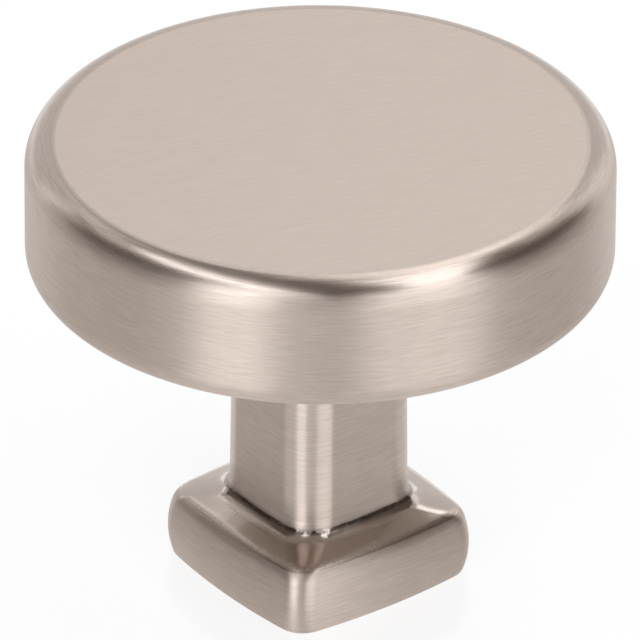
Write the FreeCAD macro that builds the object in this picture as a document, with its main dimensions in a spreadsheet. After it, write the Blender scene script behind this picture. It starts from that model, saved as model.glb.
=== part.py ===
"""Cabinet knob: one zinc die casting, satin nickel plated, screwed on from behind.

A round disc is held off the drawer front by a square neck, and the neck stands
on a small square foot. Millimetres, origin at the centre of the foot's
mounting face, +Z towards the front of the knob.
"""

import FreeCAD, Part
import math
import os

import Sketcher

# Driving dimensions: name, size, what it is
SIZES = (
    ("knob_height", 26.5, "mounting face to front face"),
    ("disc_diameter", 32.0, "round front, outside"),
    ("disc_thickness", 7.7, "front face to back face"),
    ("face_rounding", 1.65, "radius round the front face"),
    ("back_rounding", 1.35, "radius round the back face"),
    ("neck_width_front", 7.85, "square neck across flats, at the disc"),
    ("neck_width_foot", 8.1, "square neck across flats, at the foot"),
    ("neck_corner_radius", 2.0, "upright corners of the neck"),
    ("neck_fillet", 0.5, "inside radius, neck to disc"),
    ("foot_width", 13.3, "square foot across the fullest part of its sides"),
    ("foot_side_radius", 37.0, "outward bow of each side, seen from the front"),
    ("foot_corner_radius", 1.5, "upright corners of the foot"),
    ("foot_belly_height", 1.7, "height of the sides' fullest part"),
    ("foot_base_inset", 0.25, "how far the mounting face's edge lies inside it"),
    ("foot_edge_inset", 0.38, "how far the top edge lies inside it"),
    ("foot_edge_height", 3.8, "where side and sloping top would meet"),
    ("foot_root_height", 4.45, "where sloping top and neck would meet"),
    ("shoulder_radius", 1.3, "outside radius, foot side to sloping top"),
    ("cove_radius", 1.2, "inside radius, sloping top to neck"),
    ("mounting_edge_break", 0.15, "softened edge of the mounting face"),
    ("screw_core_diameter", 3.45, "tapping hole for a No. 8-32 screw"),
    ("screw_hole_depth", 14.0, "mouth to the end of the straight wall"),
    ("screw_mouth_diameter", 4.5, "countersunk mouth, outside"),
    ("screw_mouth_angle", 90.0, "countersink, whole angle in degrees"),
    ("drill_point_angle", 118.0, "end of the hole, whole angle in degrees"),
)

NODE = "knob"
HEIGHT_MATCH = 1e-4
QUARTER_TURN = math.pi / 2


def make_sheet(doc):
    """Put the driving dimensions in a sheet, one named cell to a row."""
    sheet = doc.addObject("Spreadsheet::Sheet", "sizes")
    for row, (name, value, meaning) in enumerate(SIZES, start=1):
        sheet.set(f"A{row}", meaning)
        sheet.set(f"B{row}", str(value))
        sheet.setAlias(f"B{row}", name)
    doc.recompute()
    return sheet


def size(sheet, name):
    """Return one driving dimension as a number."""
    return float(sheet.get(name))


def origin_plane(body, role):
    """Return the body's own XY_Plane, XZ_Plane or YZ_Plane."""
    return next(f for f in body.Origin.OriginFeatures if f.Role == role)


def sketch_on(body, name, role, height=None):
    """Start a sketch on an origin plane, lifted by a formula if one is given."""
    sketch = body.newObject("Sketcher::SketchObject", name)
    sketch.AttachmentSupport = [(origin_plane(body, role), "")]
    sketch.MapMode = "FlatFace"
    if height:
        sketch.setExpression("AttachmentOffset.Base.z", height)
    return sketch


def add_rule(sketch, name, formula, *rule):
    """Add a dimension to a sketch and tie it to a formula of the sheet's cells."""
    index = sketch.addConstraint(Sketcher.Constraint(*rule))
    sketch.renameConstraint(index, name)
    sketch.setExpression(f"Constraints.{name}", formula)


def arc(centre, radius, start, end):
    """Return an arc about a centre in the sketch, between two angles."""
    circle = Part.Circle(FreeCAD.Vector(*centre, 0), FreeCAD.Vector(0, 0, 1), radius)
    return Part.ArcOfCircle(circle, start, end)


def turned(point, quarter):
    """Turn a point of the sketch about its origin by quarter turns."""
    across, along = point
    cosine = round(math.cos(quarter * QUARTER_TURN))
    sine = round(math.sin(quarter * QUARTER_TURN))
    return across * cosine - along * sine, across * sine + along * cosine


def join_round(sketch, sides, corners):
    """Join each side to the corner after it and that corner to the next side."""
    for quarter, side in enumerate(sides):
        corner = corners[quarter]
        following = sides[(quarter + 1) % len(sides)]
        sketch.addConstraint(Sketcher.Constraint("Tangent", side, 2, corner, 1))
        sketch.addConstraint(Sketcher.Constraint("Tangent", corner, 2, following, 1))


def straight_square(sketch, sheet, width, corner):
    """Draw a square with straight sides and rounded corners.

    The sides and corners run anticlockwise from the right-hand side.
    """
    half = size(sheet, width) / 2
    radius = size(sheet, corner)
    run = half - radius
    sides = []
    corners = []
    for quarter in range(4):
        start = FreeCAD.Vector(*turned((half, -run), quarter), 0)
        end = FreeCAD.Vector(*turned((half, run), quarter), 0)
        sides.append(sketch.addGeometry(Part.LineSegment(start, end)))
        turn = quarter * QUARTER_TURN
        centre = turned((run, run), quarter)
        corners.append(sketch.addGeometry(arc(centre, radius, turn, turn + QUARTER_TURN)))
    join_round(sketch, sides, corners)
    for quarter, side in enumerate(sides):
        upright = quarter % 2 == 0
        sketch.addConstraint(Sketcher.Constraint("Vertical" if upright else "Horizontal", side))
        reach = "DistanceX" if upright else "DistanceY"
        ends = (-1, 1, side, 1) if quarter < 2 else (side, 1, -1, 1)
        add_rule(sketch, f"reach_{quarter}", f"sizes.{width} / 2", reach, *ends, half)
        add_rule(sketch, f"corner_{quarter}", f"sizes.{corner}", "Radius", corners[quarter], radius)


def foot_outline(sketch, sheet, inset=None):
    """Draw the foot's square with its four sides bowed outwards.

    Each side is an arc about a point on the far side of the centre. A corner
    arc touches both its sides from within, which gives its centre's distance
    from the axes as the root of a quadratic.
    """
    side_radius = size(sheet, "foot_side_radius")
    radius = size(sheet, "foot_corner_radius")
    half = size(sheet, "foot_width") / 2
    half_formula = "sizes.foot_width / 2"
    if inset:
        half -= size(sheet, inset)
        half_formula = f"({half_formula} - sizes.{inset})"
    setback = side_radius - half
    setback_formula = f"sizes.foot_side_radius - {half_formula}"
    reach = side_radius - radius
    middle = (math.sqrt(2 * reach**2 - setback**2) - setback) / 2
    swing = math.atan2(middle, middle + setback)
    sides = []
    corners = []
    for quarter in range(4):
        turn = quarter * QUARTER_TURN
        side_centre = turned((-setback, 0), quarter)
        sides.append(sketch.addGeometry(arc(side_centre, side_radius, turn - swing, turn + swing)))
        centre = turned((middle, middle), quarter)
        corner_end = turn + QUARTER_TURN - swing
        corners.append(sketch.addGeometry(arc(centre, radius, turn + swing, corner_end)))
    join_round(sketch, sides, corners)
    axes = (-1, -2)
    for quarter, side in enumerate(sides):
        upright = quarter % 2 == 0
        sketch.addConstraint(Sketcher.Constraint("PointOnObject", side, 3, axes[quarter % 2]))
        offset = "DistanceX" if upright else "DistanceY"
        ends = (side, 3, -1, 1) if quarter < 2 else (-1, 1, side, 3)
        add_rule(sketch, f"setback_{quarter}", setback_formula, offset, *ends, setback)
        add_rule(sketch, f"bow_{quarter}", "sizes.foot_side_radius", "Radius", side, side_radius)
        add_rule(sketch, f"corner_{quarter}", "sizes.foot_corner_radius", "Radius", corners[quarter], radius)


def add_foot(body, sheet):
    """Fill out the foot's cushioned sides, then slope its top up to the neck."""
    base = sketch_on(body, "foot_base", "XY_Plane")
    foot_outline(base, sheet, "foot_base_inset")
    belly = sketch_on(body, "foot_belly", "XY_Plane", "sizes.foot_belly_height")
    foot_outline(belly, sheet)
    edge = sketch_on(body, "foot_top_edge", "XY_Plane", "sizes.foot_edge_height")
    foot_outline(edge, sheet, "foot_edge_inset")
    body.Document.recompute()
    sides = body.newObject("PartDesign::AdditiveLoft", "foot_sides")
    sides.Profile = base
    sides.Sections = [belly, edge]
    root = sketch_on(body, "neck_root", "XY_Plane", "sizes.foot_root_height")
    straight_square(root, sheet, "neck_width_foot", "neck_corner_radius")
    body.Document.recompute()
    slope = body.newObject("PartDesign::AdditiveLoft", "foot_slope")
    slope.Profile = edge
    slope.Sections = [root]
    slope.Ruled = True
    body.Document.recompute()
    return root


def add_neck(body, sheet, root):
    """Draw the square neck up from the foot to the disc's back."""
    top = sketch_on(body, "neck_top", "XY_Plane", "sizes.knob_height - sizes.disc_thickness")
    straight_square(top, sheet, "neck_width_front", "neck_corner_radius")
    body.Document.recompute()
    neck = body.newObject("PartDesign::AdditiveLoft", "neck")
    neck.Profile = root
    neck.Sections = [top]
    neck.Ruled = True
    body.Document.recompute()


def add_disc(body, sheet):
    """Turn the disc from half its section, with both its rims rounded."""
    radius = size(sheet, "disc_diameter") / 2
    front = size(sheet, "knob_height")
    back = front - size(sheet, "disc_thickness")
    face = size(sheet, "face_rounding")
    rear = size(sheet, "back_rounding")
    section = sketch_on(body, "disc_section", "XZ_Plane")
    corners = (
        (0, back),
        (radius - rear, back),
        (radius, back + rear),
        (radius, front - face),
        (radius - face, front),
        (0, front),
    )
    points = [FreeCAD.Vector(*corner, 0) for corner in corners]
    back_face = sketch_line(section, points[0], points[1])
    back_rim = section.addGeometry(arc((radius - rear, back + rear), rear, -QUARTER_TURN, 0))
    rim = sketch_line(section, points[2], points[3])
    front_rim = section.addGeometry(arc((radius - face, front - face), face, 0, QUARTER_TURN))
    front_face = sketch_line(section, points[4], points[5])
    axis = sketch_line(section, points[5], points[0])
    chain = (back_face, back_rim, rim, front_rim, front_face)
    for first, second in zip(chain, chain[1:]):
        section.addConstraint(Sketcher.Constraint("Tangent", first, 2, second, 1))
    section.addConstraint(Sketcher.Constraint("Coincident", front_face, 2, axis, 1))
    section.addConstraint(Sketcher.Constraint("Coincident", axis, 2, back_face, 1))
    section.addConstraint(Sketcher.Constraint("PointOnObject", axis, 1, -2))
    section.addConstraint(Sketcher.Constraint("PointOnObject", axis, 2, -2))
    section.addConstraint(Sketcher.Constraint("Horizontal", back_face))
    section.addConstraint(Sketcher.Constraint("Vertical", rim))
    section.addConstraint(Sketcher.Constraint("Horizontal", front_face))
    add_rule(section, "radius", "sizes.disc_diameter / 2", "DistanceX", -1, 1, rim, 1, radius)
    add_rule(section, "front", "sizes.knob_height", "DistanceY", -1, 1, axis, 1, front)
    add_rule(section, "thickness", "sizes.disc_thickness", "DistanceY", axis, 2, axis, 1, front - back)
    add_rule(section, "face_rounding", "sizes.face_rounding", "Radius", front_rim, face)
    add_rule(section, "back_rounding", "sizes.back_rounding", "Radius", back_rim, rear)
    body.Document.recompute()
    disc = body.newObject("PartDesign::Revolution", "disc")
    disc.Profile = section
    disc.ReferenceAxis = (section, ["V_Axis"])
    disc.Angle = 360.0
    body.Document.recompute()


def sketch_line(sketch, start, end):
    """Add a straight line to a sketch and return its number."""
    return sketch.addGeometry(Part.LineSegment(start, end))


def edges_at(shape, height):
    """Name the edges that lie wholly in one level plane."""

    def is_level(edge):
        box = edge.BoundBox
        low = abs(box.ZMin - height)
        high = abs(box.ZMax - height)
        return low < HEIGHT_MATCH and high < HEIGHT_MATCH

    return [f"Edge{number}" for number, edge in enumerate(shape.Edges, start=1) if is_level(edge)]


def round_edges(body, name, radius, height):
    """Round every edge of the body at one height by a radius of the sheet."""
    base = body.Tip
    rounding = body.newObject("PartDesign::Fillet", name)
    rounding.Base = (base, edges_at(base.Shape, height))
    rounding.setExpression("Radius", f"sizes.{radius}")
    body.Document.recompute()


def add_screw_hole(body, sheet):
    """Drill the blind tapping hole up the neck, with a countersunk mouth."""
    centre = sketch_on(body, "screw_centre", "XY_Plane")
    core = size(sheet, "screw_core_diameter")
    circle = centre.addGeometry(arc_circle(core / 2))
    centre.addConstraint(Sketcher.Constraint("Coincident", circle, 3, -1, 1))
    add_rule(centre, "core", "sizes.screw_core_diameter / 2", "Radius", circle, core / 2)
    body.Document.recompute()
    before = body.Shape.Volume
    hole = body.newObject("PartDesign::Hole", "screw_hole")
    hole.Profile = centre
    hole.Reversed = True
    hole.DepthType = "Dimension"
    hole.DrillPoint = "Angled"
    hole.HoleCutType = "Countersink"
    hole.setExpression("Diameter", "sizes.screw_core_diameter")
    hole.setExpression("Depth", "sizes.screw_hole_depth")
    hole.setExpression("DrillPointAngle", "sizes.drill_point_angle")
    hole.setExpression("HoleCutDiameter", "sizes.screw_mouth_diameter")
    hole.setExpression("HoleCutCountersinkAngle", "sizes.screw_mouth_angle")
    body.Document.recompute()
    straight = math.pi * (core / 2) ** 2 * size(sheet, "screw_hole_depth")
    if before - body.Shape.Volume < straight:
        raise RuntimeError("the screw hole points out of the foot")


def arc_circle(radius):
    """Return a whole circle about the sketch's origin."""
    return Part.Circle(FreeCAD.Vector(0, 0, 0), FreeCAD.Vector(0, 0, 1), radius)


def make_knob(doc, sheet):
    """Build the casting: foot, neck and disc, their roundings, then the hole."""
    body = doc.addObject("PartDesign::Body", NODE)
    body.Label = NODE
    root = add_foot(body, sheet)
    add_neck(body, sheet, root)
    add_disc(body, sheet)
    neck_top = size(sheet, "knob_height") - size(sheet, "disc_thickness")
    round_edges(body, "cove", "cove_radius", size(sheet, "foot_root_height"))
    round_edges(body, "shoulder", "shoulder_radius", size(sheet, "foot_edge_height"))
    round_edges(body, "neck_blend", "neck_fillet", neck_top)
    round_edges(body, "mounting_edge", "mounting_edge_break", 0.0)
    add_screw_hole(body, sheet)
    return body


def check(doc, bodies):
    """Stop if any feature failed or a body isn't one sound solid."""
    failed = [item.Name for item in doc.Objects if {"Invalid", "Error"} & set(item.State)]
    if failed:
        raise RuntimeError(f"failed: {', '.join(failed)}")
    for body in bodies:
        shape = body.Shape
        if shape.isNull() or not shape.isValid() or len(shape.Solids) != 1:
            raise RuntimeError(f"{body.Label} is not one sound solid")


def main():
    doc = FreeCAD.newDocument("cabinet_knob")
    sheet = make_sheet(doc)
    bodies = [make_knob(doc, sheet)]
    doc.recompute()
    check(doc, bodies)
    os.makedirs("parts", exist_ok=True)
    for body in bodies:
        body.Shape.exportStep(os.path.join("parts", f"{body.Label}.step"))
        box = body.Shape.optimalBoundingBox()
        extent = f"{box.XLength:.2f} x {box.YLength:.2f} x {box.ZLength:.2f} mm"
        print(f"{body.Label}: {extent}, {body.Shape.Volume:.1f} cubic mm")


main()
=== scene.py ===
"""Looks of a cabinet knob: one zinc die casting, brushed and plated in satin nickel.

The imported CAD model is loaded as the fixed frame. The knob stands in the scene
as one fine mesh of the same sizes, with the thread that the CAD leaves out.
Sizes are millimetres until a mesh is made, and Blender's scene is in metres.
The origin is the middle of the mounting face, and +Z points to the front face.
"""

import logging
import math
from dataclasses import dataclass, field
from enum import Enum

import bpy
import numpy as np
from mathutils import Matrix, Vector


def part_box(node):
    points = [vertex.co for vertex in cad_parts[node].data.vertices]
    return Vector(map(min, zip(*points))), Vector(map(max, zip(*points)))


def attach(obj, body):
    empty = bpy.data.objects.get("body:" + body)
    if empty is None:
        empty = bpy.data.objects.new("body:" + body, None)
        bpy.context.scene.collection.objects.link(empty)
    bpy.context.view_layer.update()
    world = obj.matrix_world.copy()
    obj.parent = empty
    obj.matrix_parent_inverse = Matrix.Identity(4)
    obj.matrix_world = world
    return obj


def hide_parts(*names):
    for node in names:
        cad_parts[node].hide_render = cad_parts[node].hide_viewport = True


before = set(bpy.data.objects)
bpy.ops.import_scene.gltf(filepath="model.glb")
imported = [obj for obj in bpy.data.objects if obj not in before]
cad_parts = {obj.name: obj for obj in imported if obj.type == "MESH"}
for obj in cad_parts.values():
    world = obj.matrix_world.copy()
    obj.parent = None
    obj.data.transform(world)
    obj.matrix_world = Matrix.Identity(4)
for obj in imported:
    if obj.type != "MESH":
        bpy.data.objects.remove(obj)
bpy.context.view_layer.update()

MM = 0.001
PICTURE_PIXELS = 640
QUARTER = math.pi / 2
NODE = "knob"
BODY = "root"
COOL_WHITE = "F8FBFF"

log = logging.getLogger("cabinet_knob")

Ring = np.ndarray


class Finish(Enum):
    """How a stretch of the casting's surface was left.

    Each has its share of straight grain, its share of bare casting skin and
    the roughness that the belt left.
    """

    # A belt run round the walls leaves a wide, soft sheen.
    BRUSHED_ROUND = (0.0, 0.0, 0.48)
    # A finer belt run straight over the face leaves it calm and even.
    BRUSHED_STRAIGHT = (1.0, 0.0, 0.38)
    # An edge takes more of the belt's pressure and shines in a narrower line.
    EASED_EDGE = (0.0, 0.0, 0.27)
    # The round grain goes over to the straight grain at the face's edge.
    FACE_EDGE = (0.5, 0.0, 0.34)
    # The belt touches this skin in passing and leaves a ragged border.
    HALF_BRUSHED = (0.0, 0.5, 0.36)
    # The belt never comes here. This roughness counts only towards the border.
    AS_CAST = (0.0, 1.0, 0.30)

    def __init__(self, straight: float, cast: float, roughness: float) -> None:
        """Keep the three measures under their names.

        Args:
            straight: the share of straight grain.
            cast: the share of bare casting skin.
            roughness: what the belt left.
        """
        self.straight = straight
        self.cast = cast
        self.roughness = roughness


Bands = tuple[tuple[int, Finish], ...]


def finish_in(bands: Bands, number: int) -> Finish:
    """Return the finish of a ring, where each band ends before the ring that it names."""
    return next(finish for end, finish in bands if number < end)


def linear(code: str) -> tuple[float, float, float, float]:
    """Turn an sRGB hex colour into the linear colour that a shader wants.

    Args:
        code: six hex digits, such as "D3C6BD".

    Returns:
        Red, green, blue and an alpha of one.
    """
    parts = []
    for start in (0, 2, 4):
        value = int(code[start:start + 2], 16) / 255
        parts.append(value / 12.92 if value <= 0.04045 else ((value + 0.055) / 1.055) ** 2.4)
    return (parts[0], parts[1], parts[2], 1.0)


def add_node(
    tree: bpy.types.NodeTree,
    kind: str,
    inputs: dict[str | int, object] | None = None,
    **settings: object,
) -> bpy.types.Node:
    """Add a node with its settings, its values and the links that feed it.

    Args:
        tree: the node tree that gets the node.
        kind: the node's Blender type, such as "ShaderNodeMath".
        inputs: value or feeding socket for each input, by name or number.
        settings: the node's own properties.

    Returns:
        The new node.
    """
    node = tree.nodes.new(kind)
    for name, value in settings.items():
        setattr(node, name, value)
    for name, value in (inputs or {}).items():
        if isinstance(value, bpy.types.NodeSocket):
            tree.links.new(value, node.inputs[name])
        else:
            node.inputs[name].default_value = value
    return node


def unit(arrows: Ring) -> Ring:
    """Return each arrow at a length of one."""
    return arrows / np.linalg.norm(arrows, axis=1, keepdims=True)


def bend(start: Ring, start_way: Ring, end: Ring, end_way: Ring, steps: int) -> list[Ring]:
    """Lay rings along a rounding that leaves one run and joins the next.

    Each point follows a cubic curve as near to an arc as the eye can tell.

    Args:
        start: ring where the rounding begins.
        start_way: unit arrows along the run before it.
        end: ring where the rounding ends.
        end_way: unit arrows along the run after it.
        steps: how many rings the rounding gets, its first ring not counted.

    Returns:
        The rings after start, with end as the last one.
    """
    turn = np.arccos(np.clip((start_way * end_way).sum(1, keepdims=True), -1, 1))
    chord = np.linalg.norm(end - start, axis=1, keepdims=True)
    handle = 2 / 3 * np.tan(turn / 4) * chord / np.sin(turn / 2)
    near = start + handle * start_way
    far = end - handle * end_way
    rings = []
    for step in range(1, steps + 1):
        t = step / steps
        s = 1 - t
        rings.append(s**3 * start + 3 * s * s * t * near + 3 * s * t * t * far + t**3 * end)
    return rings


def round_corner(before: Ring, corner: Ring, after: Ring, radius: float, steps: int) -> list[Ring]:
    """Round the corner between two straight runs.

    Args:
        before: a ring on the first run.
        corner: the ring where the two runs would meet.
        after: a ring on the second run.
        radius: the rounding's radius.
        steps: how many rings it gets, its first ring not counted.

    Returns:
        The rounding's rings, its first and last included.
    """
    way_in = unit(corner - before)
    way_out = unit(after - corner)
    turn = np.arccos(np.clip((way_in * way_out).sum(1, keepdims=True), -1, 1))
    reach = radius * np.tan(turn / 2)
    start = corner - way_in * reach
    return [start, *bend(start, way_in, corner + way_out * reach, way_out, steps)]


def between(start: Ring, end: Ring, steps: int) -> list[Ring]:
    """Return evenly spaced rings inside a straight run, without its two ends."""
    return [start + (end - start) * step / steps for step in range(1, steps)]


@dataclass(frozen=True)
class Outline:
    """A square seen from the front, with rounded corners and straight or bowed sides.

    Every outline has the same number of points, and corners answer to corners,
    so that a ring of one joins a ring of another point by point.
    """

    width: float
    corner: float
    side_radius: float = 0.0
    side_points: int = 72
    corner_points: int = 40

    def at(self, height: float) -> Ring:
        """Return the outline as a ring at a height above the mounting face."""
        half = self.width / 2
        if self.side_radius:
            setback = self.side_radius - half
            reach = self.side_radius - self.corner
            middle = (math.sqrt(2 * reach**2 - setback**2) - setback) / 2
            swing = math.atan2(middle, middle + setback)
            angles = np.linspace(-swing, swing, self.side_points, endpoint=False)
            bow = [(math.cos(angle), math.sin(angle)) for angle in angles]
            side = [(self.side_radius * x - setback, self.side_radius * y) for x, y in bow]
        else:
            middle = half - self.corner
            swing = 0.0
            places = np.linspace(-middle, middle, self.side_points, endpoint=False)
            side = [(half, along) for along in places]
        turns = np.linspace(swing, QUARTER - swing, self.corner_points, endpoint=False)
        arc = [(math.cos(angle), math.sin(angle)) for angle in turns]
        corner = [(middle + self.corner * x, middle + self.corner * y) for x, y in arc]
        quarter = np.array(side + corner)
        points = []
        for number in range(4):
            cosine = round(math.cos(number * QUARTER))
            sine = round(math.sin(number * QUARTER))
            across = quarter[:, 0] * cosine - quarter[:, 1] * sine
            along = quarter[:, 0] * sine + quarter[:, 1] * cosine
            points.append(np.column_stack((across, along, np.full(len(quarter), height))))
        return np.concatenate(points)


def corner_share(outline: Outline, ramp: int) -> Ring:
    """Return how far each point of an outline lies on a corner, from nought to one.

    Args:
        outline: the outline.
        ramp: how many points the share takes to rise, and again to fall.

    Returns:
        The share of each point.
    """
    rise = np.clip(np.arange(outline.corner_points) / ramp, 0, 1)
    quarter = np.concatenate((np.zeros(outline.side_points), rise * rise[::-1]))
    return np.tile(quarter, 4)


@dataclass
class Skin:
    """The casting's surface while it is laid ring by ring.

    Beside its points and faces it keeps, for each point, how far it lies across
    the grain, its finish and how much painted shade it gets.
    """

    points: list[tuple[float, float, float]] = field(default_factory=list)
    faces: list[tuple[int, ...]] = field(default_factory=list)
    across: list[float] = field(default_factory=list)
    straight: list[float] = field(default_factory=list)
    cast: list[float] = field(default_factory=list)
    rough: list[float] = field(default_factory=list)
    shade_share: list[float] = field(default_factory=list)
    last_ring: Ring | None = None
    last_across: Ring | None = None

    def lay(
        self,
        ring: Ring,
        finish: Finish,
        eased: Ring | float = 0.0,
        painted_shade: Ring | float = 0.0,
        reached: Ring | float = 0.0,
    ) -> None:
        """Add a ring and join it to the one before, whose count it equals or divides.

        Args:
            ring: the ring's points in order.
            finish: how the surface is finished there.
            eased: how far each point was rubbed as smooth as an eased edge.
            painted_shade: how much painted shade each point gets.
            reached: how far the belt reached each point of bare casting skin.
        """
        start = len(self.points)
        count = len(ring)
        if self.last_ring is None:
            travelled = np.zeros(count)
        else:
            share = len(self.last_ring) // count
            step = np.linalg.norm(ring - self.last_ring[::share], axis=1).mean()
            travelled = self.last_across[::share] + step
            self.join(start - len(self.last_ring), start, count, share)
        self.points.extend(map(tuple, ring))
        self.across.extend(travelled)
        everywhere = np.zeros(count)
        smoother = Finish.EASED_EDGE.roughness - finish.roughness
        self.straight.extend([finish.straight] * count)
        self.cast.extend(finish.cast * (1 - reached) + everywhere)
        self.rough.extend(finish.roughness + smoother * eased + everywhere)
        self.shade_share.extend(painted_shade + everywhere)
        self.last_ring = ring
        self.last_across = travelled

    def join(self, outer: int, inner: int, count: int, share: int) -> None:
        """Make the faces between two rings.

        Args:
            outer: number of the earlier ring's first point.
            inner: number of the later ring's first point.
            count: how many points the later ring has.
            share: how many of the earlier ring's points go to each of them.
        """
        total = count * share
        for number in range(count):
            here = inner + number
            following = inner + (number + 1) % count
            first = number * share
            for step in range(share - 1):
                self.faces.append((outer + first + step, outer + first + step + 1, here))
            last = outer + first + share - 1
            self.faces.append((last, outer + (first + share) % total, following, here))

    def close(self, point: tuple[float, float, float]) -> None:
        """Close the last ring with a fan to one point."""
        count = len(self.last_ring)
        start = len(self.points) - count
        self.points.append(point)
        self.across.append(float(self.last_across.mean()))
        self.straight.append(self.straight[-1])
        self.cast.append(self.cast[-1])
        self.rough.append(self.rough[-1])
        self.shade_share.append(self.shade_share[-1])
        for number in range(count):
            self.faces.append((start + number, start + (number + 1) % count, start + count))

    def flip(self) -> None:
        """Turn every face over."""
        self.faces = [face[::-1] for face in self.faces]


@dataclass
class Foot:
    """The square, cushion-shaped foot that stands on the drawer front.

    Its painted shade is a share of full darkness: a dark line painted along the
    cove's crease, and a faint one on the sloping top under the head. The belt's edge
    rubs the cove's lowest rings along the flats. At the corners these rings are bare
    skin without the painted shade, which gives bright glints.
    """

    width: float = 13.3
    side_radius: float = 37.0
    corner: float = 1.5
    belly_height: float = 1.7
    base_inset: float = 0.25
    edge_inset: float = 0.38
    edge_height: float = 3.8
    root_height: float = 4.45
    shoulder_start: float = 3.19
    shoulder_radius: float = 1.3
    cove_radius: float = 1.2
    edge_break: float = 0.15
    edge_break_steps: int = 5
    side_start: float = 0.25
    side_rows: int = 17
    shoulder_steps: int = 16
    shoulder_bands: Bands = (
        (7, Finish.BRUSHED_ROUND),
        (9, Finish.EASED_EDGE),
        (12, Finish.HALF_BRUSHED),
        (16, Finish.AS_CAST),
    )
    slope_steps: int = 5
    # The sloping top under the head gets a faint painted shade.
    slope_painted_shade: float = 0.02
    cove_steps: int = 14
    cove_bands: Bands = (
        (9, Finish.AS_CAST),
        (15, Finish.BRUSHED_ROUND),
    )
    # The dark line of painted shade along the cove's crease: where it lies from the foot side to the
    # neck side, and how wide it is.
    line_place: float = 0.54
    line_width: float = 0.10
    rubbed_rings: int = 7
    rubbed: float = 0.5
    corner_degrees: float = 12.0
    corner_fade_degrees: float = 8.0

    def outline(self, inset: float) -> Outline:
        """Return the foot's outline, drawn in from its fullest by an inset."""
        return Outline(self.width - 2 * inset, self.corner, self.side_radius)

    def inset_at(self, height: float) -> float:
        """Return how far a side lies inside its fullest part, on a parabola through three heights."""
        low = self.base_inset * (height - self.belly_height) * (height - self.edge_height)
        low /= self.belly_height * self.edge_height
        high = self.edge_inset * height * (height - self.belly_height)
        high /= self.edge_height * (self.edge_height - self.belly_height)
        return low + high

    def side(self, height: float) -> Ring:
        """Return the ring round the foot's sides at a height."""
        return self.outline(self.inset_at(height)).at(height)

    def lay_mounting_edge(self, skin: Skin) -> None:
        """Lay the softened edge of the mounting face, from the face up."""
        corner = self.side(0.0)
        up = self.side(self.edge_break)
        inward = self.outline(self.base_inset + self.edge_break).at(0.0)
        for ring in round_corner(inward, corner, up, self.edge_break, self.edge_break_steps):
            skin.lay(ring, Finish.BRUSHED_ROUND)

    def lay_sides(self, skin: Skin, neck_root: Ring, neck_top: Ring) -> None:
        """Lay the crowned sides, the shoulder, the sloping top and the cove.

        Args:
            skin: the surface laid so far.
            neck_root: the ring where sloping top and neck would meet.
            neck_top: the ring at the neck's other end.
        """
        for height in np.linspace(self.side_start, self.shoulder_start, self.side_rows):
            skin.lay(self.side(float(height)), Finish.BRUSHED_ROUND)
        edge = self.side(self.edge_height)
        start = self.side(self.shoulder_start)
        # The side's slope is taken over the last 0.05 mm below the shoulder.
        way_up = unit(start - self.side(self.shoulder_start - 0.05))
        way_in = unit(neck_root - edge)
        turn = np.arccos((way_up * way_in).sum(1, keepdims=True))
        end = edge + way_in * self.shoulder_radius * np.tan(turn / 2)
        shoulder = bend(start, way_up, end, way_in, self.shoulder_steps)
        for number, ring in enumerate(shoulder):
            skin.lay(ring, finish_in(self.shoulder_bands, number))
        cove = round_corner(edge, neck_root, neck_top, self.cove_radius, self.cove_steps)
        # The sloping top is bare skin with a faint painted shade.
        for ring in between(end, cove[0], self.slope_steps):
            skin.lay(ring, Finish.AS_CAST, painted_shade=self.slope_painted_shade)
        # The cove's crease gets the dark painted shade line. On the lowest rings it is left off at
        # the corners.
        flats = self.flat_share(edge)
        for number, ring in enumerate(cove):
            painted_shade = self.painted_shade_at(number / self.cove_steps)
            finish = finish_in(self.cove_bands, number)
            if number < self.rubbed_rings:
                skin.lay(ring, finish, painted_shade=painted_shade * flats, reached=flats * self.rubbed)
            else:
                skin.lay(ring, finish, painted_shade=painted_shade)

    def flat_share(self, ring: Ring) -> Ring:
        """Return how far each point of a ring lies on a side's flat, from nought to one."""
        degrees = np.degrees(np.arctan2(ring[:, 1], ring[:, 0]))
        off_the_corner = np.abs(degrees % 90 - 45)
        return np.clip((off_the_corner - self.corner_degrees) / self.corner_fade_degrees, 0.0, 1.0)

    def painted_shade_at(self, share: float) -> float:
        """Return how much painted shade the cove gets, from its foot side to its neck side: a dark
        line in the crease, and the sloping top's faint shade beside it.
        """
        line = math.exp(-(((share - self.line_place) / self.line_width) ** 2))
        return max(line, self.slope_painted_shade * (1 - share))


@dataclass
class Neck:
    """The square neck, a little slimmer towards the head."""

    width_front: float = 7.85
    width_foot: float = 8.1
    corner: float = 2.0
    corner_easing: float = 0.7
    easing_ramp: int = 5
    flat_steps: int = 12
    blend: float = 0.5
    blend_steps: int = 8

    def root(self, height: float) -> Ring:
        """Return the neck's outline where it would meet the sloping top."""
        return Outline(self.width_foot, self.corner).at(height)

    def top(self, height: float) -> Ring:
        """Return the neck's outline at the head's back."""
        return Outline(self.width_front, self.corner).at(height)

    def lay(self, skin: Skin, foot: Foot, head_back: float) -> None:
        """Lay the neck's flats and the small rounding under the head.

        Args:
            skin: the surface laid so far, up to the cove.
            foot: the foot that the neck stands on.
            head_back: height of the head's back face.
        """
        root = self.root(foot.root_height)
        top = self.top(head_back)
        # Any ring further out on the head's back shows the way that the blend turns to.
        further_out = top * (1.2, 1.2, 1.0)
        blend = round_corner(root, top, further_out, self.blend, self.blend_steps)
        corners = corner_share(Outline(self.width_foot, self.corner), self.easing_ramp)
        for ring in [*between(skin.last_ring, blend[0], self.flat_steps), *blend]:
            skin.lay(ring, Finish.BRUSHED_ROUND, eased=self.corner_easing * corners)


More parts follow.
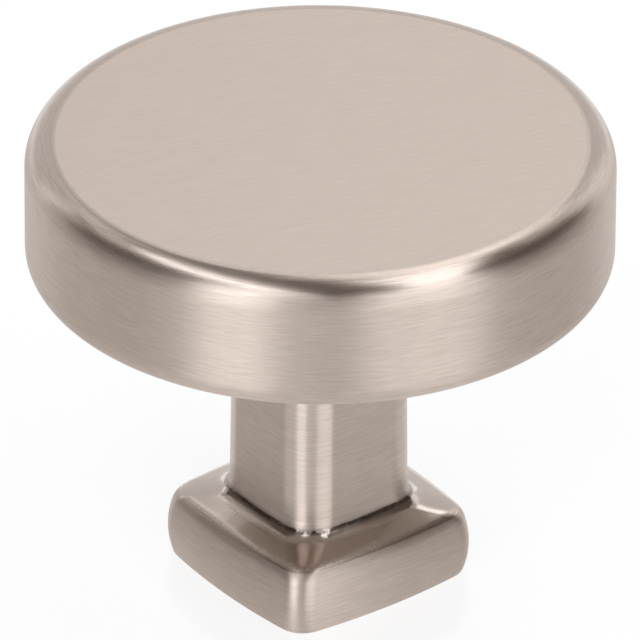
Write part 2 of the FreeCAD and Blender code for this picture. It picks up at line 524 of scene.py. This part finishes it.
@dataclass
class Head:
    """The round head, with a rounded rim front and back.

    The belt presses harder towards the face, so the face's rounding grows
    smoother over a few rings. The back is bare skin, darkened with painted shade
    as it lies in the head's own shade. The face's own rings lie at insets from the
    rounding, and then at radii.
    """

    diameter: float = 32.0
    thickness: float = 7.7
    back_steps: int = 9
    # The head's back gets painted shade, as it lies in shade over the foot.
    back_painted_shade: float = 0.58
    back_rounding: float = 1.35
    back_rounding_steps: int = 14
    back_rounding_bands: Bands = (
        (3, Finish.AS_CAST),
        (14, Finish.BRUSHED_ROUND),
    )
    rim_steps: int = 8
    face_rounding: float = 1.65
    face_rounding_steps: int = 26
    face_rounding_bands: Bands = (
        (21, Finish.BRUSHED_ROUND),
        (23, Finish.FACE_EDGE),
        (26, Finish.BRUSHED_STRAIGHT),
    )
    easing_start: int = 6
    easing_rings: int = 6
    face_insets: tuple[float, ...] = (0.06, 0.36)
    face_radii: tuple[float, ...] = (12.0, 9.0, 6.0, 3.0, 1.0)

    def lay(self, skin: Skin, front: float) -> None:
        """Lay the head's back, its rim and its flat face.

        Args:
            skin: the surface laid so far, up to the neck's blend.
            front: height of the flat face.
        """
        radius = self.diameter / 2
        back = front - self.thickness
        flat = skin.last_ring.copy()
        angles = np.arctan2(flat[:, 1], flat[:, 0])
        spokes = np.column_stack((np.cos(angles), np.sin(angles), np.zeros(len(flat))))
        upright = np.tile((0.0, 0.0, 1.0), (len(flat), 1))

        def ring_at(reach: float, height: float) -> Ring:
            """Return a round ring at a distance from the axis."""
            return spokes * reach + upright * height

        edge = ring_at(radius - self.back_rounding, back)
        # The head's back is bare skin darkened with painted shade.
        for ring in [*between(flat, edge, self.back_steps), edge]:
            skin.lay(ring, Finish.AS_CAST, painted_shade=self.back_painted_shade)
        rim = ring_at(radius, back + self.back_rounding)
        back_round = bend(edge, spokes, rim, upright, self.back_rounding_steps)
        for number, ring in enumerate(back_round):
            skin.lay(ring, finish_in(self.back_rounding_bands, number))
        rim_top = ring_at(radius, front - self.face_rounding)
        for ring in [*between(rim, rim_top, self.rim_steps), rim_top]:
            skin.lay(ring, Finish.BRUSHED_ROUND)
        face_edge = radius - self.face_rounding
        face_round = bend(
            rim_top,
            upright,
            ring_at(face_edge, front),
            -spokes,
            self.face_rounding_steps,
        )
        for number, ring in enumerate(face_round):
            eased = min(max((number - self.easing_start) / self.easing_rings, 0.0), 1.0)
            skin.lay(ring, finish_in(self.face_rounding_bands, number), eased=eased)
        for reach in (*(face_edge - inset for inset in self.face_insets), *self.face_radii):
            skin.lay(ring_at(reach, front), Finish.BRUSHED_STRAIGHT)
        skin.close((0.0, 0.0, front))


@dataclass
class ScrewHole:
    """The tapped blind hole for the machine screw, with its thread cut out of the wall.

    The wall takes one point of every few in the mounting face's outline.
    """

    core: float = 3.45
    major: float = 4.17
    pitch: float = 25.4 / 32
    mouth: float = 4.5
    depth: float = 14.0
    tapped_depth: float = 11.5
    drill_angle: float = 118.0
    rows_per_pitch: int = 8
    outline_share: int = 4

    def lay(self, skin: Skin) -> None:
        """Lay the hole's wall from the mouth to the drill point.

        Args:
            skin: the surface laid so far, whose last ring edges the mounting face.
        """
        rim = skin.last_ring[::self.outline_share]
        angles = np.arctan2(rim[:, 1], rim[:, 0])
        rows = round(self.depth / self.pitch * self.rows_per_pitch)
        for row in range(rows + 1):
            height = self.depth * row / rows
            reach = self.reach_at(angles, height)
            level = np.full(len(rim), height)
            ring = np.column_stack((np.cos(angles) * reach, np.sin(angles) * reach, level))
            skin.lay(ring, Finish.AS_CAST)
        tip = self.depth + self.core / 2 / math.tan(math.radians(self.drill_angle / 2))
        skin.close((0.0, 0.0, tip))

    def reach_at(self, angles: Ring, height: float) -> Ring:
        """Return the wall's distance from the axis, all round at one height.

        Args:
            angles: where round the axis each point lies.
            height: how deep in the hole.

        Returns:
            The distance of each point.
        """
        turns = height / self.pitch - angles / (2 * math.pi)
        groove = 1 - np.abs(2 * (turns - np.floor(turns)) - 1)
        runout = min(max((self.tapped_depth - height) / self.pitch, 0.0), 1.0)
        thread = self.core / 2 + (self.major - self.core) / 2 * groove * runout
        # The countersink of 45 degrees narrows as fast as it deepens.
        countersink = self.mouth / 2 - height
        return np.maximum(thread, countersink)


@dataclass(frozen=True)
class SatinNickel:
    """Nickel plate on a zinc casting, brushed with a fine belt and lacquered.

    Plating gives a pale, slightly warm metal. The belt's grain spreads each
    highlight across the grain, so that the rim shows upright bands of light. The
    last belt on the face was finer, so the grain is fainter there. Where no belt
    reached, the plate lies on the casting's own skin, which mirrors more sharply
    and is wavy and gritty. Lacquer settles in the grain and looks browner there.
    A dark brown painted shade lies as a line in the cove's crease. It also darkens
    the head's back and, faintly, the sloping top, where shade falls under the head.

    Sizes are millimetres, the grain's turn is in degrees and the spread's turn is a
    share of a whole one. Real grain and grit are too fine to show in the picture, so
    both are drawn as coarse as they need to show.
    """

    plate: str = "CABDB3"
    plate_shade: str = "BAACA2"
    skin_shade: str = "C9BDB4"
    # The dark brown of the painted shade in the cove's crease and under the head.
    painted_shade_colour: str = "2C2219"
    skin_roughness: float = 0.19
    anisotropy: float = 0.80
    spread_turn: float = 0.25
    grain_width: float = 0.075
    grain_length: float = 1.5
    grain_turn: float = -13.0
    grain_depth: float = 0.0006
    grain_low: float = 0.32
    grain_high: float = 0.68
    face_fading: float = 0.5
    face_level: float = 0.6
    grit: float = 0.12
    grit_depth: float = 0.0028
    wave: float = 1.1
    wave_depth: float = 0.012
    border_patch: float = 0.16
    border_width: float = 0.5
    border_low: float = 0.40
    border_high: float = 1.10
    # The painted shade is fainter on the grit's peaks, down to its faintest share.
    shade_whole: float = 0.42
    shade_thin: float = 0.62
    faintest_shade: float = 0.35

    def make(self) -> bpy.types.Material:
        """Return the material that dresses the whole casting."""
        material = bpy.data.materials.new("brushed_satin_nickel")
        material.use_nodes = True
        tree = material.node_tree
        tree.nodes.clear()
        marks = {}
        for name in ("straight_grain", "as_cast", "across_grain", "painted_shade_mark", "roughness"):
            mark = add_node(tree, "ShaderNodeAttribute", attribute_name=name)
            marks[name] = mark.outputs["Fac"]
        place = add_node(tree, "ShaderNodeTexCoord").outputs["Object"]
        straight = marks["straight_grain"]
        skin = self.ragged(tree, place, marks["as_cast"])
        grain = self.grain(tree, place, marks["across_grain"], straight)
        grit = add_node(
            tree,
            "ShaderNodeTexNoise",
            {"Vector": place, "Scale": 1 / (self.grit * MM), "Detail": 3.0, "Roughness": 0.6},
        ).outputs["Fac"]
        rough = add_node(
            tree,
            "ShaderNodeMix",
            {"Factor": skin, "A": marks["roughness"], "B": self.skin_roughness},
        ).outputs["Result"]
        around = add_node(
            tree,
            "ShaderNodeTangent",
            direction_type="RADIAL",
            axis="Z",
        ).outputs["Tangent"]
        turn = math.radians(self.grain_turn)
        tangent = add_node(
            tree,
            "ShaderNodeMix",
            {"Factor": straight, "A": around, "B": (math.cos(turn), math.sin(turn), 0.0)},
            data_type="VECTOR",
        ).outputs["Result"]
        # The tangent runs along the grain, and the spread's quarter turn puts the light across it.
        shader = add_node(
            tree,
            "ShaderNodeBsdfPrincipled",
            {
                "Base Color": self.colour(tree, grain, grit, skin, marks["painted_shade_mark"]),
                "Metallic": 1.0,
                "Roughness": rough,
                "Anisotropic": self.anisotropy,
                "Anisotropic Rotation": self.spread_turn,
                "Normal": self.relief(tree, place, grain, grit, skin),
                "Tangent": tangent,
            },
        ).outputs["BSDF"]
        add_node(tree, "ShaderNodeOutputMaterial", {"Surface": shader})
        return material

    def colour(
        self,
        tree: bpy.types.NodeTree,
        grain: bpy.types.NodeSocket,
        grit: bpy.types.NodeSocket,
        skin: bpy.types.NodeSocket,
        shade_share: bpy.types.NodeSocket,
    ) -> bpy.types.NodeSocket:
        """Add the plate's colour, the bare skin's and the painted shade over both.

        Args:
            tree: the material's node tree.
            grain: the grain's height, from nought to one.
            grit: the grit's height, from nought to one. The painted shade is fainter on its peaks.
            skin: the share of bare casting skin.
            shade_share: how much painted shade lies there.

        Returns:
            The colour.
        """
        brushed = add_node(
            tree,
            "ShaderNodeMix",
            {"Factor": grain, "A": linear(self.plate_shade), "B": linear(self.plate)},
            data_type="RGBA",
        ).outputs["Result"]
        metal = add_node(
            tree,
            "ShaderNodeMix",
            {"Factor": skin, "A": brushed, "B": linear(self.skin_shade)},
            data_type="RGBA",
        ).outputs["Result"]
        shade_strength = add_node(
            tree,
            "ShaderNodeMapRange",
            {
                "Value": grit,
                "From Min": self.shade_thin,
                "From Max": self.shade_whole,
                "To Min": self.faintest_shade,
            },
        ).outputs["Result"]
        # The painted shade mixes dark brown over the metal.
        painted_shade = add_node(
            tree,
            "ShaderNodeMath",
            {0: shade_share, 1: shade_strength},
            operation="MULTIPLY",
        ).outputs["Value"]
        return add_node(
            tree,
            "ShaderNodeMix",
            {"Factor": painted_shade, "A": metal, "B": linear(self.painted_shade_colour)},
            data_type="RGBA",
        ).outputs["Result"]

    def relief(
        self,
        tree: bpy.types.NodeTree,
        place: bpy.types.NodeSocket,
        grain: bpy.types.NodeSocket,
        grit: bpy.types.NodeSocket,
        skin: bpy.types.NodeSocket,
    ) -> bpy.types.NodeSocket:
        """Add the scratches of the belt and the grit and waves of the casting skin.

        Heights are counted in depths of the grit until the bump node gets them.

        Args:
            tree: the material's node tree.
            place: where the point lies, in metres.
            grain: the grain's height, from nought to one.
            grit: the grit's height, from nought to one.
            skin: the share of bare casting skin.

        Returns:
            The normal.
        """
        scratches = add_node(
            tree,
            "ShaderNodeMath",
            {0: grain, 1: self.grain_depth / self.grit_depth},
            operation="MULTIPLY",
        ).outputs["Value"]
        waves = add_node(
            tree,
            "ShaderNodeTexNoise",
            {"Vector": place, "Scale": 1 / (self.wave * MM), "Detail": 0.0},
        ).outputs["Fac"]
        uneven = add_node(
            tree,
            "ShaderNodeMath",
            {0: waves, 1: self.wave_depth / self.grit_depth, 2: grit},
            operation="MULTIPLY_ADD",
        ).outputs["Value"]
        height = add_node(
            tree,
            "ShaderNodeMix",
            {"Factor": skin, "A": scratches, "B": uneven},
        ).outputs["Result"]
        return add_node(
            tree,
            "ShaderNodeBump",
            {"Height": height, "Distance": self.grit_depth * MM, "Strength": 1.0},
        ).outputs["Normal"]

    def ragged(
        self,
        tree: bpy.types.NodeTree,
        place: bpy.types.NodeSocket,
        unbrushed: bpy.types.NodeSocket,
    ) -> bpy.types.NodeSocket:
        """Break up the border between brushed metal and bare casting skin.

        Args:
            tree: the material's node tree.
            place: where the point lies, in metres.
            unbrushed: the share of casting skin, a half at the border.

        Returns:
            The share of casting skin with a ragged border.
        """
        patches = add_node(
            tree,
            "ShaderNodeTexNoise",
            {
                "Vector": place,
                "Scale": 1 / (self.border_patch * MM),
                "Detail": 4.0,
                "Roughness": 0.6,
            },
        ).outputs["Fac"]
        shift = add_node(
            tree,
            "ShaderNodeMath",
            {0: patches, 1: self.border_width},
            operation="MULTIPLY",
        ).outputs["Value"]
        total = add_node(tree, "ShaderNodeMath", {0: unbrushed, 1: shift}).outputs["Value"]
        return add_node(
            tree,
            "ShaderNodeMapRange",
            {"Value": total, "From Min": self.border_low, "From Max": self.border_high},
        ).outputs["Result"]

    def grain(
        self,
        tree: bpy.types.NodeTree,
        place: bpy.types.NodeSocket,
        across: bpy.types.NodeSocket,
        straight: bpy.types.NodeSocket,
    ) -> bpy.types.NodeSocket:
        """Add the belt's grain, round the walls and straight over the face.

        Args:
            tree: the material's node tree.
            place: where the point lies, in metres.
            across: how far the point lies across the round grain, in metres.
            straight: one where the grain is straight.

        Returns:
            The grain's height, from nought to one.
        """
        along = 1 / (self.grain_length * MM)
        width = 1 / (self.grain_width * MM)
        parts = add_node(tree, "ShaderNodeSeparateXYZ", {"Vector": place}).outputs
        unrolled = add_node(
            tree,
            "ShaderNodeCombineXYZ",
            {"X": parts["X"], "Y": parts["Y"], "Z": across},
        ).outputs["Vector"]
        turned = add_node(
            tree,
            "ShaderNodeVectorRotate",
            {"Vector": place, "Angle": -math.radians(self.grain_turn)},
            rotation_type="Z_AXIS",
        ).outputs["Vector"]
        places = []
        for source, scale in ((unrolled, (along, along, width)), (turned, (along, width, along))):
            stretched = add_node(
                tree,
                "ShaderNodeVectorMath",
                {0: source, 1: scale},
                operation="MULTIPLY",
            )
            places.append(stretched.outputs["Vector"])
        grain_place = add_node(
            tree,
            "ShaderNodeMix",
            {"Factor": straight, "A": places[0], "B": places[1]},
            data_type="VECTOR",
        ).outputs["Result"]
        streaks = add_node(
            tree,
            "ShaderNodeTexNoise",
            {"Vector": grain_place, "Scale": 1.0, "Detail": 3.0, "Roughness": 0.65},
        ).outputs["Fac"]
        contrast = add_node(
            tree,
            "ShaderNodeMapRange",
            {"Value": streaks, "From Min": self.grain_low, "From Max": self.grain_high},
        ).outputs["Result"]
        faded = add_node(
            tree,
            "ShaderNodeMath",
            {0: straight, 1: self.face_fading},
            operation="MULTIPLY",
        ).outputs["Value"]
        return add_node(
            tree,
            "ShaderNodeMix",
            {"Factor": faded, "A": contrast, "B": self.face_level},
        ).outputs["Result"]


@dataclass
class Knob:
    """The whole casting: foot, neck, head and the tapped hole in its underside."""

    height: float
    foot: Foot = field(default_factory=Foot)
    neck: Neck = field(default_factory=Neck)
    head: Head = field(default_factory=Head)
    hole: ScrewHole = field(default_factory=ScrewHole)
    finish: SatinNickel = field(default_factory=SatinNickel)

    def build(self) -> bpy.types.Object:
        """Return the knob as one closed mesh, from the drill point out and round to the face."""
        inside = Skin()
        edge = self.foot.outline(self.foot.base_inset + self.foot.edge_break).at(0.0)
        inside.lay(edge, Finish.AS_CAST)
        self.hole.lay(inside)
        inside.flip()
        outside = Skin()
        self.foot.lay_mounting_edge(outside)
        back = self.height - self.head.thickness
        root = self.neck.root(self.foot.root_height)
        self.foot.lay_sides(outside, root, self.neck.top(back))
        self.neck.lay(outside, self.foot, back)
        self.head.lay(outside, self.height)
        return self.make_object(inside, outside)

    def make_object(self, inside: Skin, outside: Skin) -> bpy.types.Object:
        """Join the two skins into one mesh.

        Args:
            inside: mounting face and hole.
            outside: all the rest, whose first ring is the inside's first ring.

        Returns:
            The dressed object.
        """
        shared = len(self.foot.outline(0.0).at(0.0))
        shift = len(inside.points) - shared

        def number(index: int) -> int:
            """Return the number in the joined mesh of a point of the outside."""
            return index if index < shared else index + shift

        points = inside.points + outside.points[shared:]
        faces = inside.faces + [tuple(number(index) for index in face) for face in outside.faces]
        mesh = bpy.data.meshes.new("knob_casting")
        mesh.from_pydata([[value * MM for value in point] for point in points], [], faces)
        mesh.update()
        marks = {
            "across_grain": [value * MM for value in inside.across + outside.across[shared:]],
            "straight_grain": inside.straight + outside.straight[shared:],
            "as_cast": inside.cast + outside.cast[shared:],
            "roughness": inside.rough + outside.rough[shared:],
            "painted_shade_mark": inside.shade_share + outside.shade_share[shared:],
        }
        for name, values in marks.items():
            mesh.attributes.new(name, "FLOAT", "POINT").data.foreach_set("value", values)
        mesh.polygons.foreach_set("use_smooth", [True] * len(mesh.polygons))
        mesh.materials.append(self.finish.make())
        piece = bpy.data.objects.new("knob_casting", mesh)
        bpy.context.scene.collection.objects.link(piece)
        return piece


@dataclass
class Viewpoint:
    """The camera, set back a long way with a long lens, as the knob was photographed.

    Angles are degrees, and the aim and the distance are metres.
    """

    turn: float = -37.56
    tilt: float = 30.555
    roll: float = 0.366
    aim_right: float = 0.000024
    aim_height: float = 0.01516
    distance: float = 0.760
    pixels_per_distance: float = 13980.0
    sensor_width: float = 36.0
    clip_start: float = 0.01
    clip_end: float = 20.0

    def rightward(self) -> Vector:
        """Return the level way to the picture's right."""
        turn = math.radians(self.turn)
        return Vector((math.cos(turn), math.sin(turn), 0.0))

    def frontward(self) -> Vector:
        """Return the level way towards the camera."""
        turn = math.radians(self.turn)
        return Vector((math.sin(turn), -math.cos(turn), 0.0))

    def axes(self) -> tuple[Vector, Vector, Vector]:
        """Return the picture's right, its up and the way back to the camera."""
        turn = math.radians(self.turn)
        tilt = math.radians(self.tilt)
        flat = math.cos(tilt)
        back = Vector((math.sin(turn) * flat, -math.cos(turn) * flat, math.sin(tilt)))
        level = self.rightward()
        upward = back.cross(level)
        roll = math.radians(self.roll)
        right = level * math.cos(roll) + upward * math.sin(roll)
        return right, back.cross(right), back

    def build(self) -> bpy.types.Object:
        """Return the camera, made the scene's own."""
        right, upward, back = self.axes()
        aim = self.rightward() * self.aim_right + Vector((0.0, 0.0, self.aim_height))
        data = bpy.data.cameras.new("camera")
        data.sensor_width = self.sensor_width
        data.lens = self.pixels_per_distance / PICTURE_PIXELS * self.sensor_width
        data.clip_start = self.clip_start
        data.clip_end = self.clip_end
        camera = bpy.data.objects.new("camera", data)
        turned = Matrix((right, upward, back)).transposed().to_4x4()
        camera.matrix_world = Matrix.Translation(aim + back * self.distance) @ turned
        bpy.context.scene.collection.objects.link(camera)
        bpy.context.scene.camera = camera
        return camera


@dataclass(frozen=True)
class Softbox:
    """A lamp behind a diffusing sheet, hung level over the table or stood upright beside it.

    Its place is given as the photographer sees it: metres to the right of the
    knob, towards the camera and up. Its size is its width and length in metres, and
    its turn is in degrees, anticlockwise from above. An upright one faces the knob
    by itself.
    """

    name: str
    place: tuple[float, float, float]
    size: tuple[float, float]
    brightness: float
    turn: float = 0.0
    upright: bool = False
    colour: str = "FFFFFF"

    def build(self, view: Viewpoint) -> bpy.types.Object:
        """Return the lamp, hung where it belongs round the camera's side.

        Args:
            view: the camera's viewpoint, which the place is given from.

        Returns:
            The lamp.
        """
        right, front, height = self.place
        width, length = self.size
        data = bpy.data.lights.new(self.name, "AREA")
        data.shape = "RECTANGLE"
        data.size = width
        data.size_y = length
        data.energy = self.brightness * math.pi * width * length
        data.color = linear(self.colour)[:3]
        lamp = bpy.data.objects.new(self.name, data)
        level = view.rightward() * right + view.frontward() * front
        lamp.location = level + Vector((0.0, 0.0, height))
        if self.upright:
            lamp.rotation_euler = (-level).to_track_quat("-Z", "Y").to_euler()
        else:
            lamp.rotation_euler = (0.0, 0.0, math.radians(view.turn) + math.radians(self.turn))
        bpy.context.scene.collection.objects.link(lamp)
        return lamp


@dataclass(frozen=True)
class Board:
    """A white board of the studio, as pale in the metal as to the eye.

    Its glow is the share of its look that doesn't hang on the lamps. Cast acrylic
    has a low roughness and mirrors softly, and painted board is matt.
    """

    name: str
    colour: str
    glow: float
    roughness: float

    def make(self) -> bpy.types.Material:
        """Return the board's material."""
        material = bpy.data.materials.new(self.name)
        material.use_nodes = True
        tree = material.node_tree
        tree.nodes.clear()
        rays = add_node(tree, "ShaderNodeLightPath").outputs
        seen = add_node(
            tree,
            "ShaderNodeMath",
            {0: rays["Is Camera Ray"], 1: rays["Is Glossy Ray"]},
        ).outputs["Value"]
        seen = add_node(
            tree,
            "ShaderNodeMath",
            {0: seen, 1: rays["Is Transmission Ray"]},
            use_clamp=True,
        ).outputs["Value"]
        share = add_node(
            tree,
            "ShaderNodeMath",
            {0: seen, 1: self.glow},
            operation="MULTIPLY",
        ).outputs["Value"]
        body = add_node(
            tree,
            "ShaderNodeMix",
            {"Factor": share, "A": linear(self.colour), "B": (0.0, 0.0, 0.0, 1.0)},
            data_type="RGBA",
        ).outputs["Result"]
        shader = add_node(
            tree,
            "ShaderNodeBsdfPrincipled",
            {
                "Base Color": body,
                "Roughness": self.roughness,
                "Emission Color": (1.0, 1.0, 1.0, 1.0),
                "Emission Strength": share,
            },
        ).outputs["BSDF"]
        add_node(tree, "ShaderNodeOutputMaterial", {"Surface": shader})
        return material


@dataclass
class Studio:
    """The table, the backdrop and the lamps round the knob."""

    floor_board: Board = Board("white_acrylic", colour="FBFBFB", glow=0.80, roughness=0.2)
    backdrop_board: Board = Board("backdrop_board", colour="F2F2F2", glow=0.63, roughness=0.8)
    room_colour: str = "FFE6D2"
    room_brightness: float = 0.11
    floor_size: float = 8.0
    backdrop_distance: float = 1.6
    backdrop_height: float = 1.9
    backdrop_width: float = 5.0
    softboxes: tuple[Softbox, ...] = (
        Softbox(
            "strip_left",
            place=(-0.276, 0.79, 1.0),
            size=(0.22, 2.40),
            turn=13.4,
            brightness=3.6,
            colour=COOL_WHITE,
        ),
        Softbox(
            "strip_right",
            place=(0.56, 0.25, 1.0),
            size=(0.42, 1.25),
            turn=34.0,
            brightness=2.4,
            colour=COOL_WHITE,
        ),
        Softbox(
            "overhead_back",
            place=(0.21, -0.74, 1.0),
            size=(0.42, 0.69),
            turn=165.0,
            brightness=1.8,
        ),
        Softbox(
            "panel_left",
            place=(-0.712, -0.598, 1.0),
            size=(0.38, 0.75),
            turn=-40.0,
            brightness=0.8,
        ),
        Softbox(
            "panel_right",
            place=(0.72, -0.70, 1.0),
            size=(0.50, 0.60),
            turn=44.0,
            brightness=0.5,
        ),
        Softbox(
            "front_left",
            place=(-0.63, 1.02, 0.44),
            size=(0.60, 0.87),
            upright=True,
            brightness=4.0,
            colour=COOL_WHITE,
        ),
        Softbox(
            "front_right",
            place=(0.75, 0.93, 0.42),
            size=(1.05, 0.84),
            upright=True,
            brightness=2.6,
            colour=COOL_WHITE,
        ),
        Softbox(
            "side_left",
            place=(-1.02, -0.62, 0.50),
            size=(0.45, 0.80),
            upright=True,
            brightness=0.5,
        ),
        Softbox(
            "side_right",
            place=(0.82, -0.88, 0.50),
            size=(0.45, 0.80),
            upright=True,
            brightness=0.4,
        ),
    )

    def sheet(self, name: str, corners: list[Vector], board: Board) -> bpy.types.Object:
        """Return a flat sheet that belongs to the stage.

        Args:
            name: the sheet's name.
            corners: its four corners in order.
            board: what it is made of.

        Returns:
            The sheet.
        """
        mesh = bpy.data.meshes.new(name)
        mesh.from_pydata([tuple(corner) for corner in corners], [], [(0, 1, 2, 3)])
        mesh.update()
        mesh.materials.append(board.make())
        sheet = bpy.data.objects.new(name, mesh)
        bpy.context.scene.collection.objects.link(sheet)
        return sheet

    def build(self, view: Viewpoint) -> list[bpy.types.Object]:
        """Return the floor, the backdrop and the lamps.

        Args:
            view: the camera's viewpoint, which the backdrop faces.

        Returns:
            Everything that was made.
        """
        half = self.floor_size / 2
        floor_corners = [
            Vector((-half, -half, 0.0)),
            Vector((half, -half, 0.0)),
            Vector((half, half, 0.0)),
            Vector((-half, half, 0.0)),
        ]
        floor = self.sheet("floor", floor_corners, self.floor_board)
        middle = -view.frontward() * self.backdrop_distance
        side = view.rightward() * self.backdrop_width / 2
        rise = Vector((0.0, 0.0, self.backdrop_height))
        left = middle - side
        right = middle + side
        wall = self.sheet("backdrop", [left, right, right + rise, left + rise], self.backdrop_board)
        world = bpy.data.worlds.new("room")
        world.use_nodes = True
        background = world.node_tree.nodes["Background"]
        background.inputs["Color"].default_value = linear(self.room_colour)
        background.inputs["Strength"].default_value = self.room_brightness
        bpy.context.scene.world = world
        return [floor, wall, *(softbox.build(view) for softbox in self.softboxes)]


def main() -> None:
    """Build the knob and its studio, and say what was made."""
    logging.basicConfig(level=logging.INFO, format="%(message)s")
    bpy.context.scene.view_settings.view_transform = "Standard"
    view = Viewpoint()
    view.build()
    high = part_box(NODE)[1]
    knob = Knob(height=high.z / MM)
    piece = knob.build()
    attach(piece, BODY)
    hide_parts(NODE)
    log.info("%s: %d faces", piece.name, len(piece.data.polygons))
    for thing in Studio().build(view):
        log.info("%s: in place", thing.name)


if __name__ == "__main__":
    main()
